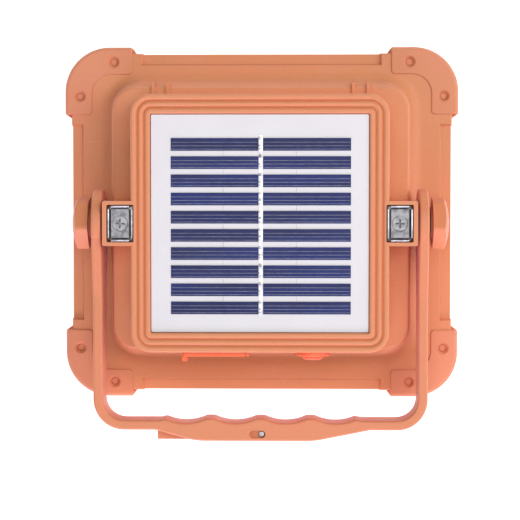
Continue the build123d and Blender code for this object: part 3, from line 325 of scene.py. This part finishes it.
# The third colour of each finish is the painted shade that its creases are darkened towards.
finishes = {
    "shell": moulded("shell_plastic", (0.73, 0.295, 0.130), (0.77, 0.28, 0.13),
                     (0.60, 0.13, 0.04)),
    "guard": moulded("guard_rubber", (0.74, 0.30, 0.150), (0.78, 0.29, 0.165), (0.58, 0.13, 0.04),
                     gloss=(0.5, 0.68), grains=5200.0, sheen=0.22),
    "handle": moulded("handle_plastic", (0.73, 0.275, 0.125), (0.77, 0.265, 0.13),
                      (0.58, 0.12, 0.03), gloss=(0.34, 0.52), sheen=0.14),
    "knob": moulded("knob_plastic", (0.70, 0.25, 0.10), (0.76, 0.25, 0.10), (0.55, 0.11, 0.03),
                    gloss=(0.34, 0.52)),
    "soft_red": moulded("red_silicone", (0.92, 0.19, 0.065), (0.96, 0.17, 0.06),
                        (0.72, 0.06, 0.01), gloss=(0.28, 0.42), grains=2600.0, depth=0.012,
                        scuffing=0.25),
    "black_rubber": moulded("black_rubber", (0.022, 0.022, 0.024), (0.03, 0.03, 0.032),
                            (0.01, 0.01, 0.01), gloss=(0.5, 0.65), sheen=0.05),
    "component": moulded("black_moulding", (0.03, 0.03, 0.033), (0.045, 0.045, 0.05),
                         (0.01, 0.01, 0.012), gloss=(0.35, 0.5), sheen=0.05),
    "nylon": moulded("white_nylon", (0.80, 0.79, 0.75), (0.74, 0.72, 0.66), (0.4, 0.36, 0.3),
                     gloss=(0.4, 0.55), sheen=0.05),
    "wire": moulded("wire_silicone", (0.55, 0.03, 0.025), (0.62, 0.04, 0.03), (0.3, 0.01, 0.01),
                    gloss=(0.35, 0.5), grains=3000.0, depth=0.01, sheen=0.08),
    "battery": moulded("cell_sleeve", (0.03, 0.16, 0.42), (0.03, 0.19, 0.48), (0.01, 0.05, 0.2),
                       gloss=(0.22, 0.36), grains=1500.0, depth=0.02, sheen=0.0),
}
print(len(finishes), "moulded finishes")

# %% [markdown]
# ## Metals
# The magnet cups are folded from thin zinc-plated steel, the screws are plated too, and the
# magnets have a grey nickel skin. Plating is never a clean mirror: it has fine rolling lines, a
# cloudy crystal pattern and small dull stains. The lines are noise pulled out along one axis, and
# the stains make it darker and rougher. Deep corners such as a screw's cross recess get painted
# shade, a darker colour where ambient occlusion finds them closed in. The pieces under the clear
# sheet leave that painted shade out, since the sheet would shade them all.

# %% Metal finishes
def metal(name, bright_colour, dull_colour, gloss=(0.22, 0.45), lines=(90.0, 2400.0, 2400.0),
          depth=0.006, shade=0.85):
    """A plated or rolled metal with fine lines, dull stains and painted shade in its recesses."""
    material, tree, shader, place = start_material(name)
    stretched = add(tree, "ShaderNodeMapping", Vector=place, Scale=lines)
    rolled = add(tree, "ShaderNodeTexNoise", Vector=stretched.outputs[0], Scale=1.0, Detail=3.0)
    stain = add(tree, "ShaderNodeTexNoise", Vector=place, Scale=420.0, Detail=4.0)
    dulled = ramp(tree, stain.outputs[0], 0.40, 0.68)
    plate = blend_colours(tree, dulled, (*bright_colour, 1.0), (*dull_colour, 1.0))
    # Painted shade: recesses such as a screw's cross are darkened where ambient occlusion finds
    # them closed in.
    painted_shade_node = use(tree, painted_crease_shade, Reach=0.0012, Strength=shade)
    colour = blend_colours(tree, painted_shade_node.outputs["Mask"], plate, (0.03, 0.03, 0.035, 1.0))
    feed(tree, shader.inputs["Base Color"], colour)
    bright, matt = gloss
    rough = sums(tree, "MULTIPLY_ADD", dulled, matt - bright, bright)
    feed(tree, shader.inputs["Roughness"], rough)
    shader.inputs["Metallic"].default_value = 1.0
    raise_bump(tree, shader, rolled.outputs[0], depth * millimetre)
    return material


finishes["steel"] = metal("zinc_plated_steel", (0.62, 0.63, 0.65), (0.46, 0.47, 0.49),
                          gloss=(0.32, 0.5))
finishes["magnet"] = metal("nickel_magnet_skin", (0.34, 0.345, 0.36), (0.25, 0.255, 0.27),
                           gloss=(0.42, 0.6), lines=(1400.0, 1400.0, 1400.0), depth=0.015)
finishes["screw"] = metal("plated_screw", (0.32, 0.325, 0.34), (0.24, 0.245, 0.26),
                          gloss=(0.32, 0.5))
finishes["blackened"] = metal("blackened_steel", (0.06, 0.06, 0.07), (0.04, 0.04, 0.045),
                              gloss=(0.4, 0.55))
finishes["brass"] = metal("brass", (0.82, 0.60, 0.28), (0.62, 0.44, 0.20))
finishes["nickel"] = metal("bare_nickel", (0.74, 0.72, 0.67), (0.60, 0.58, 0.54))
finishes["ribbon"] = metal("tinned_ribbon", (0.93, 0.94, 0.95), (0.80, 0.81, 0.83),
                           gloss=(0.35, 0.6), shade=0.0)
finishes["reflector"] = metal("metallised_reflector", (0.90, 0.91, 0.92), (0.84, 0.85, 0.87),
                              gloss=(0.12, 0.24), lines=(260.0, 260.0, 260.0), depth=0.25)
print(8, "metal finishes")

# %% [markdown]
# ## Boards, foam and the white sheet behind the cells
# The lamp board is white solder mask over aluminium and the main board is green over copper.
# Both get faint raised tracks from a stepped cell pattern. The foam is full of small holes. The
# sheet behind the solar cells is smooth white laminate, a touch greyer where glue shows through.

# %% Board, foam and sheet finishes
def board(name, colour, track):
    """Solder mask with raised copper tracks under it."""
    material, tree, shader, place = start_material(name)
    cells = add(tree, "ShaderNodeTexVoronoi", {"distance": "CHEBYCHEV"}, Vector=place, Scale=380.0)
    tracks = ramp(tree, cells.outputs["Distance"], 0.30, 0.36)
    mottle = add(tree, "ShaderNodeTexNoise", Vector=place, Scale=160.0, Detail=2.0)
    patchy = sums(tree, "MULTIPLY", mottle.outputs[0], 0.3)
    toned = blend_colours(tree, patchy, (*colour, 1.0), (*track, 1.0))
    final = blend_colours(tree, sums(tree, "MULTIPLY", tracks, 0.5), toned, (*track, 1.0))
    feed(tree, shader.inputs["Base Color"], final)
    rough = sums(tree, "MULTIPLY_ADD", mottle.outputs[0], 0.2, 0.25)
    feed(tree, shader.inputs["Roughness"], rough)
    raise_bump(tree, shader, tracks, 0.03 * millimetre)
    return material


finishes["lamp_board"] = board("white_lamp_board", (0.86, 0.86, 0.84), (0.74, 0.74, 0.72))
finishes["circuit"] = board("green_board", (0.01, 0.16, 0.05), (0.03, 0.25, 0.09))

foam_material, tree, shader, place = start_material("closed_cell_foam")
bubbles = add(tree, "ShaderNodeTexVoronoi", Vector=place, Scale=1500.0)
holes = bubbles.outputs["Distance"]
toned = blend_colours(tree, holes, (0.015, 0.015, 0.018, 1.0), (0.05, 0.05, 0.055, 1.0))
feed(tree, shader.inputs["Base Color"], toned)
feed(tree, shader.inputs["Roughness"], sums(tree, "MULTIPLY_ADD", holes, 0.2, 0.75))
raise_bump(tree, shader, holes, 0.2 * millimetre)
finishes["foam"] = foam_material

sheet_material, tree, shader, place = start_material("white_panel_sheet")
glue = add(tree, "ShaderNodeTexNoise", Vector=place, Scale=35.0, Detail=3.0)
glue_share = sums(tree, "MULTIPLY", ramp(tree, glue.outputs[0], 0.35, 0.7), 0.6)
toned = blend_colours(tree, glue_share, (0.78, 0.80, 0.79, 1.0), (0.74, 0.76, 0.75, 1.0))
feed(tree, shader.inputs["Base Color"], toned)
fibres = add(tree, "ShaderNodeTexNoise", Vector=place, Scale=1800.0, Detail=2.0)
feed(tree, shader.inputs["Roughness"], sums(tree, "MULTIPLY_ADD", fibres.outputs[0], 0.2, 0.3))
raise_bump(tree, shader, fibres.outputs[0], 0.01 * millimetre)
finishes["panel_white"] = sheet_material
print("boards, foam and sheet ready")

# %% [markdown]
# ## Clear laminate and lens
# Real glass bends light, but rays through thin clear sheets take long to trace and the bend is
# too small to see. A clear film is made here as a nearly invisible skin instead: its alpha rises
# only at a grazing angle, by Fresnel, so it shows as gloss over what lies below it.

# %% Clear finishes
def clear(name, tint, body, gloss):
    """A see-through film. Body is how much of it shows face on."""
    material, tree, shader, place = start_material(name)
    haze = add(tree, "ShaderNodeTexNoise", Vector=place, Scale=70.0, Detail=4.0)
    rim = add(tree, "ShaderNodeFresnel", IOR=1.45)
    gleam = sums(tree, "MULTIPLY", rim.outputs[0], 0.6)
    shown = sums(tree, "ADD", gleam, sums(tree, "MULTIPLY", haze.outputs[0], body), clamp=True)
    inner_side = tree.nodes.new("ShaderNodeNewGeometry").outputs["Backfacing"]
    outside = sums(tree, "SUBTRACT", 1.0, inner_side)
    feed(tree, shader.inputs["Alpha"], sums(tree, "MULTIPLY", shown, outside))
    smears = ramp(tree, haze.outputs[0], 0.45, 0.75)
    feed(tree, shader.inputs["Roughness"], sums(tree, "MULTIPLY_ADD", smears, 0.10, gloss))
    smeared = blend_colours(tree, smears, (*tint, 1.0), (0.95, 0.96, 0.97, 1.0))
    feed(tree, shader.inputs["Base Color"], smeared)
    ripple = add(tree, "ShaderNodeTexNoise", Vector=place, Scale=240.0, Detail=1.0)
    raise_bump(tree, shader, ripple.outputs[0], 0.01 * millimetre)
    return material


finishes["laminate"] = clear("clear_laminate", (0.93, 0.95, 0.98), 0.02, 0.16)
finishes["clear_lens"] = clear("clear_lens", (0.90, 0.94, 0.96), 0.10, 0.06)
print("clear films ready")

# %% [markdown]
# ## Light packages and cells
# Each light package is a small white block with a yellow phosphor window in it. A solar cell is
# blue-black silicon, brighter where its crystals catch the light. Both colours are patterns over
# the place on the piece, with a sharp change where the real thing has one.

# %% Phosphor and silicon finishes
phosphor, tree, shader, place = start_material("phosphor")
powder = add(tree, "ShaderNodeTexNoise", Vector=place, Scale=5200.0, Detail=2.0)
toned = blend_colours(tree, powder.outputs[0], (0.90, 0.62, 0.08, 1.0), (0.96, 0.80, 0.20, 1.0))
feed(tree, shader.inputs["Base Color"], toned)
feed(tree, shader.inputs["Roughness"], sums(tree, "MULTIPLY_ADD", powder.outputs[0], 0.2, 0.3))
raise_bump(tree, shader, powder.outputs[0], 0.01 * millimetre)
finishes["led"] = phosphor

silicon, tree, shader, place = start_material("silicon_cell")
across = add(tree, "ShaderNodeMapping", Vector=place, Scale=(14.0, 170.0, 30.0))
bands = add(tree, "ShaderNodeTexNoise", Vector=across.outputs[0], Scale=1.0, Detail=3.0)
flakes = add(tree, "ShaderNodeTexVoronoi", Vector=place, Scale=900.0)
deep_blue, bright_blue = (0.002, 0.008, 0.080, 1.0), (0.005, 0.018, 0.145, 1.0)
toned = blend_colours(tree, ramp(tree, bands.outputs[0], 0.34, 0.66), deep_blue, bright_blue)
# Painted glint: some crystal flakes are painted lighter, as if they caught the light.
glint = sums(tree, "MULTIPLY", flakes.outputs["Color"], 0.05)
feed(tree, shader.inputs["Base Color"], blend_colours(tree, glint, toned, (0.10, 0.15, 0.45, 1.0)))
feed(tree, shader.inputs["Roughness"], sums(tree, "MULTIPLY_ADD", bands.outputs[0], 0.2, 0.30))
shader.inputs["Specular IOR Level"].default_value = 0.12
raise_bump(tree, shader, flakes.outputs["Distance"], 0.004 * millimetre)
finishes["cell"] = silicon
print(len(finishes), "finishes in all")

# %% [markdown]
# ## Dress the solid model
# The record says which material slot each node takes, so the finishes are handed out from it.
# Only the material changes: no solid is moved or bent.

# %% Finishes on the solid model's nodes
for part in frame["record"]["subparts"]:
    mesh = nodes[part["node"]].data
    mesh.materials.clear()
    mesh.materials.append(finishes[part["material_slot"]])
special = {
    "magnet_screws": "screw",
    "steel_washer_left": "blackened",
    "steel_washer_right": "blackened",
}
for name, finish in special.items():
    nodes[name].data.materials[0] = finishes[finish]

# %% [markdown]
# ## Tools for new pieces
# Two small helpers carry most of the modelling. One puts a block between two corners and rounds
# its edges, because nothing real has a perfectly sharp edge and it is the round that catches the
# light. One turns finished faces into an object on a body, in a slot, standing for solid nodes.

# %% Modelling helpers
def block(build, low, high, round_by=0.0, segments=2):
    """A box between two corners, with rounded edges."""
    low, high = Vector(low), Vector(high)
    size = high - low
    place = Matrix.Translation((low + high) / 2) @ Matrix.Diagonal((*size, 1.0))
    made = bmesh.ops.create_cube(build, size=1.0, matrix=place)
    if round_by:
        edges = dict.fromkeys(edge for vert in made["verts"] for edge in vert.link_edges)
        bmesh.ops.bevel(build, geom=list(edges), offset=round_by, segments=segments, profile=0.5,
                        affect="EDGES", material=-1)


def piece(build, name, finish, body, stands_for=(), crease_angle=35.0):
    """A finished object from the faces in build."""
    bmesh.ops.recalc_face_normals(build, faces=build.faces)
    mesh = bpy.data.meshes.new(name)
    build.to_mesh(mesh)
    build.free()
    mesh.shade_smooth()
    mesh.set_sharp_from_angle(angle=math.radians(crease_angle))
    made = bpy.data.objects.new(name, mesh)
    bpy.context.scene.collection.objects.link(made)
    mesh.materials.append(finish)
    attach(made, body)
    if stands_for:
        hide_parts(*stands_for)
    print(name, "has", len(mesh.polygons), "faces")
    return made

# %% [markdown]
# ## Solar cells
# Twenty strips of silicon lie in ten rows of two under the laminate. Each is its own thin wafer,
# so each is its own block. The printed silver fingers that gather the current are real raised
# lines here, not a stripe in the colour, so that they stay crisp however close one looks.

# %% Cells and fingers
cell_rows = 10
row_gap = 2.2 * millimetre
column_gap = 1.9 * millimetre
finger_places = (0.12, 0.385, 0.665)     # from a cell's lower edge, as shares of its height
finger_width = 0.11 * millimetre
finger_rise = 0.02 * millimetre
wafer_round = 0.04 * millimetre
finger_inset = 0.3 * millimetre          # a finger stops short of the cell's ends

cells_low, cells_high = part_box("solar_cells")
cell_height = (cells_high.y - cells_low.y - (cell_rows - 1) * row_gap) / cell_rows
cell_length = (cells_high.x - cells_low.x - column_gap) / 2
cell_starts = (cells_low.x, cells_high.x - cell_length)
row_starts = [cells_low.y + row * (cell_height + row_gap) for row in range(cell_rows)]

wafers = bmesh.new()
fingers = bmesh.new()
for x in cell_starts:
    for y in row_starts:
        top = cells_high.z - finger_rise
        far_corner = (x + cell_length, y + cell_height, top)
        block(wafers, (x, y, cells_low.z), far_corner, wafer_round, 1)
        for share in finger_places:
            middle = y + share * cell_height
            block(fingers, (x + finger_inset, middle - finger_width / 2, top - finger_rise),
                  (x + cell_length - finger_inset, middle + finger_width / 2, cells_high.z))
piece(wafers, "silicon_wafers", finishes["cell"], "lamp_body", ["solar_cells"])
finger_silver = metal("printed_silver", (0.36, 0.38, 0.44), (0.28, 0.30, 0.36),
                      gloss=(0.45, 0.6), shade=0.0)
piece(fingers, "silver_fingers", finger_silver, "lamp_body")
print("cells in mm:", round(cell_length / millimetre, 2), "by", round(cell_height / millimetre, 2))

# %% [markdown]
# ## Ribbon and solder
# A tinned ribbon runs down between the two columns and joins them, with a lump of solder at each
# cell. Fine bus wires also cross the gaps between the rows. The lumps are small balls pressed
# flat and nudged about, because solder never sets twice in the same shape.

# %% Ribbon, solder and bus wires
ribbon_low, ribbon_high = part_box("solar_ribbon")
ribbon = bmesh.new()
block(ribbon, ribbon_low, ribbon_high, 0.05 * millimetre, 1)
piece(ribbon, "tinned_ribbon", finishes["ribbon"], "lamp_body", ["solar_ribbon"])

solder_flat = 0.09 * millimetre
lump_places = (0.97, 0.42, 0.15)         # shares of a cell's height
lump_sizes = (0.62, 0.46, 0.34)          # half widths in mm
solder = bmesh.new()
for row, y in enumerate(row_starts):
    for number, (share, half) in enumerate(zip(lump_places, lump_sizes)):
        sway = math.sin(7.3 * row + 2.9 * number)
        nudged_x = 0.16 * sway * millimetre
        nudged_y = y + (share + 0.04 * sway) * cell_height
        middle = Vector((nudged_x, nudged_y, ribbon_high.z))
        size = Vector((half, half * (1.1 + 0.3 * sway), 0.0)) * millimetre
        place = Matrix.Translation(middle) @ Matrix.Diagonal((size.x, size.y, solder_flat, 1.0))
        bmesh.ops.create_icosphere(solder, subdivisions=2, radius=1.0, matrix=place)
solder_metal = metal("dull_solder", (0.52, 0.53, 0.54), (0.34, 0.35, 0.37),
                     gloss=(0.4, 0.6), shade=0.0)
piece(solder, "solder_lumps", solder_metal, "lamp_body", crease_angle=80.0)

wire_half = 0.06 * millimetre
wire_share = 0.62                        # along a cell from its outer end
wires = bmesh.new()
for side in (-1, 1):
    x = side * (cells_high.x - wire_share * cell_length)
    for y in row_starts[:-1]:
        block(wires, (x - wire_half, y + cell_height, cells_low.z),
              (x + wire_half, y + cell_height + row_gap, cells_low.z + 2 * wire_half))
piece(wires, "bus_wires", solder_metal, "lamp_body")

# %% [markdown]
# ## Laminate
# The cells are sealed under a clear glossy sheet with a rounded rim. The solid model hollows its
# sheet round every cell, and each hollow's walls would show as one more clear skin. One plain
# rounded sheet that starts just above the cells looks as the real one does.

# %% Clear sheet over the cells
cover_low, cover_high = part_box("solar_cover")
sheet_lift = 0.03 * millimetre           # keeps the sheet clear of the fingers
sheet_low = Vector((cover_low.x, cover_low.y, cells_high.z + sheet_lift))
sheet = bmesh.new()
block(sheet, sheet_low, cover_high, 0.14 * millimetre, 3)
piece(sheet, "clear_sheet", finishes["laminate"], "lamp_body", ["solar_cover"])

# %% [markdown]
# ## Magnet cups
# Each cup is cut from plated sheet and folded up on four sides, so its corners stay open. Four
# flaps and a floor plate, each with softened edges, show those open corners and the bright rims.

# %% Folded cups
sheet_thick = 0.75 * millimetre
corner_notch = 1.35 * millimetre
soft = 0.22 * millimetre                 # round on every edge
for side in ("left", "right"):
    low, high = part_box(f"magnet_cup_{side}")
    cup = bmesh.new()
    block(cup, low, (high.x, high.y, low.z + sheet_thick), soft)
    flap_y = (low.y + corner_notch, high.y - corner_notch)
    flap_x = (low.x + corner_notch, high.x - corner_notch)
    block(cup, (low.x, flap_y[0], low.z), (low.x + sheet_thick, flap_y[1], high.z), soft, 3)
    block(cup, (high.x - sheet_thick, flap_y[0], low.z), (high.x, flap_y[1], high.z), soft, 3)
    block(cup, (flap_x[0], low.y, low.z), (flap_x[1], low.y + sheet_thick, high.z), soft, 3)
    block(cup, (flap_x[0], high.y - sheet_thick, low.z), (flap_x[1], high.y, high.z), soft, 3)
    solid = f"magnet_cup_{side}"
    piece(cup, f"folded_cup_{side}", finishes["steel"], "lamp_body", [solid])

# %% [markdown]
# ## Light packages
# Ninety-nine light-emitting packages stand in a grid on the lamp board. Each is a white block with
# a sunk, softly domed yellow window. They are seen by the dozen, so each one has few faces: a
# bevelled block, and a low dome of two rings.

# %% Packages and phosphor windows
first_corner, last_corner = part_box("flood_leds")
led_columns, led_rows = 11, 9
package_size = Vector((3.5, 2.8)) * millimetre
package_face = first_corner.z + 0.12 * millimetre
package_round = 0.15 * millimetre
window_radius = 1.05 * millimetre
window_flat = 0.114                      # height of a dome over its radius
pitch_x = (last_corner.x - first_corner.x - package_size.x) / (led_columns - 1)
pitch_y = (last_corner.y - first_corner.y - package_size.y) / (led_rows - 1)
packages = bmesh.new()
windows = bmesh.new()
for column in range(led_columns):
    for row in range(led_rows):
        left = first_corner.x + column * pitch_x
        low = first_corner.y + row * pitch_y
        right, high = left + package_size.x, low + package_size.y
        block(packages, (left, low, package_face), (right, high, last_corner.z), package_round, 1)
        middle = Matrix.Translation(((left + right) / 2, (low + high) / 2, package_face))
        bmesh.ops.create_uvsphere(windows, u_segments=12, v_segments=4, radius=window_radius,
                                  matrix=middle @ Matrix.Diagonal((1.0, 1.0, window_flat, 1.0)))
piece(packages, "light_packages", finishes["nylon"], "lamp_body", ["flood_leds"])
piece(windows, "phosphor_windows", finishes["led"], "lamp_body", crease_angle=80.0)

# %% [markdown]
# ## Floor and lights
# Most of the light comes from a broad lamp box high on the right and a little towards the top, so
# right-hand slopes shine and left-hand ones stay dark. A box overhead opens the shadows, a cool
# one from below the handle gives the lower half its pink cast, and a low narrow one on the right
# draws thin pale lines along the rounded edges.

# %% Floor and lights
floor_mesh = bpy.data.meshes.new("floor")
build = bmesh.new()
bmesh.ops.create_grid(build, x_segments=1, y_segments=1, size=3.0)
bmesh.ops.translate(build, verts=build.verts, vec=(0, 0, cad_low.z - 0.0002))
build.to_mesh(floor_mesh)
build.free()
floor = bpy.data.objects.new("floor", floor_mesh)
bpy.context.scene.collection.objects.link(floor)
paper, tree, shader, place = start_material("paper_floor")
pulp = add(tree, "ShaderNodeTexNoise", Vector=place, Scale=300.0, Detail=3.0)
toned = blend_colours(tree, pulp.outputs[0], (0.90, 0.90, 0.90, 1.0), (0.93, 0.93, 0.93, 1.0))
feed(tree, shader.inputs["Base Color"], toned)
shader.inputs["Roughness"].default_value = 0.9
shader.inputs["Emission Color"].default_value = (1.0, 1.0, 1.0, 1.0)
shader.inputs["Emission Strength"].default_value = 0.6
floor_mesh.materials.append(paper)


def lamp_box(name, spot, size, watts, colour):
    """A soft rectangular light that looks at the object."""
    data = bpy.data.lights.new(name, "AREA")
    data.shape = "RECTANGLE"
    data.size, data.size_y = size
    data.energy = watts
    data.color = colour
    light = bpy.data.objects.new(name, data)
    light.location = spot
    light.rotation_euler = (-Vector(spot)).to_track_quat("-Z", "Y").to_euler()
    bpy.context.scene.collection.objects.link(light)
    return light


lamp_box("key", (0.95, 0.35, 0.95), (0.8, 0.8), 7.2, (1.0, 0.95, 0.93))
lamp_box("overhead", (0.05, 0.25, 1.60), (1.2, 1.2), 8.4, (1.0, 0.99, 0.97))
lamp_box("cool", (-0.15, -1.10, 0.50), (1.0, 0.5), 11.0, (0.90, 0.74, 1.0))
lamp_box("rim", (1.20, -0.10, 0.30), (0.25, 0.9), 3.2, (0.94, 0.78, 1.0))
world = bpy.data.worlds.new("studio")
bpy.context.scene.world = world
world.use_nodes = True
world.node_tree.nodes["Background"].inputs["Color"].default_value = (0.96, 0.94, 1.0, 1.0)
world.node_tree.nodes["Background"].inputs["Strength"].default_value = 0.30
print("floor and 4 lamp boxes")
